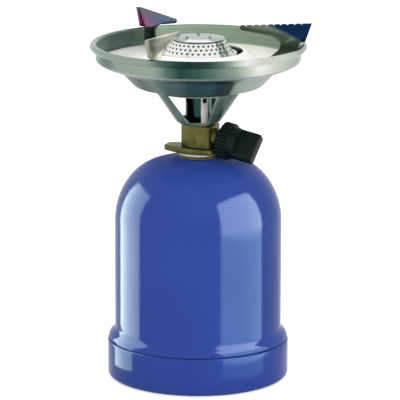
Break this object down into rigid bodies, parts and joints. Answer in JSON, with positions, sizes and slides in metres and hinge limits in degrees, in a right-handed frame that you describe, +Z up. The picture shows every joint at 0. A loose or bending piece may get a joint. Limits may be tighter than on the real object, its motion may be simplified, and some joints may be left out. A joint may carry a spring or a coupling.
{
  "type": "portable gas stove",
  "caption": "Camping stove: a steel bell locks over a pierced gas cartridge on a round base, and a screwed valve carries the burner, pan and pot blades.",
  "frame": {"origin": "centre of the ring that the base stands on", "axes": "+Z up along the axis of bell and burner; -Y faces the camera of the picture, +X is to its right"},
  "size_m": [0.1284, 0.1258, 0.2096],
  "materials": {
    "blue_enamel": "gloss paint on pressed steel",
    "zinc_plate": "zinc plated steel",
    "white_tin": "white lacquered tinplate, bare of words",
    "white_nylon": "plain moulded nylon",
    "brass": "dull, slightly tarnished olive brass",
    "bright_steel": "bright pressed stainless steel",
    "dark_steel": "darkened pressed steel",
    "tempered_steel": "mirror-like steel with blue and straw heat colours",
    "black_plastic": "moulded, satin",
    "seal_rubber": "matt"
  },
  "bodies": {
    "base": {"base_cup": "blue_enamel", "cartridge_collar": "zinc_plate", "gas_cartridge": "white_tin"},
    "bell": {"bell_housing": "blue_enamel", "bell_lug_1": "zinc_plate", "bell_lug_2": "zinc_plate", "bell_lug_3": "zinc_plate", "neck_bushing": "zinc_plate", "bushing_nut": "zinc_plate"},
    "washer": {"sealing_washer": "white_nylon"},
    "burner_unit": {"threaded_stem": "brass", "piercing_needle": "bright_steel", "cartridge_seal": "seal_rubber", "hand_flange": "brass", "valve_body": "brass", "spindle_seal": "seal_rubber", "gland_nut": "brass", "gas_jet": "brass", "burner_bracket": "dark_steel", "mixing_tube": "dark_steel", "pan_rivet_1": "zinc_plate", "pan_rivet_2": "zinc_plate", "pan_rivet_3": "zinc_plate", "pan_bowl": "bright_steel", "drip_tray": "bright_steel", "burner_cup": "bright_steel", "burner_drum": "bright_steel", "burner_cap": "bright_steel", "cap_rivet_1": "bright_steel", "cap_rivet_2": "bright_steel", "cap_rivet_3": "bright_steel", "pot_blade_1": "tempered_steel", "pot_blade_2": "tempered_steel", "pot_blade_3": "tempered_steel"},
    "spindle": {"valve_spindle": "bright_steel"},
    "knob": {"control_knob": "black_plastic"}
  },
  "joints": [
    {"name": "bell_unlock", "type": "hinge", "parent": "base", "child": "bell", "pos_m": [0, 0, 0.03], "axis": [0, 0, 1], "range_deg": [0, 25]},
    {"name": "valve_lift", "type": "slide", "parent": "bell", "child": "washer", "axis": [0, 0, 1], "range_m": [0, 0.0075]},
    {"name": "valve_turn", "type": "hinge", "parent": "washer", "child": "burner_unit", "pos_m": [0, 0, 0.132], "axis": [0, 0, 1], "range_deg": [0, 1800]},
    {"name": "spindle_travel", "type": "slide", "parent": "burner_unit", "child": "spindle", "axis": [0.8968, -0.3993, -0.1908], "range_m": [0, 0.00105]},
    {"name": "knob_turn", "type": "hinge", "parent": "spindle", "child": "knob", "pos_m": [0, 0, 0.145], "axis": [0.8968, -0.3993, -0.1908], "range_deg": [0, 540]}
  ],
  "couplings": [
    {"joint": "valve_lift", "follows": "valve_turn", "m_per_rad": 0.00023873},
    {"joint": "spindle_travel", "follows": "knob_turn", "m_per_rad": 0.0001114}
  ]
}
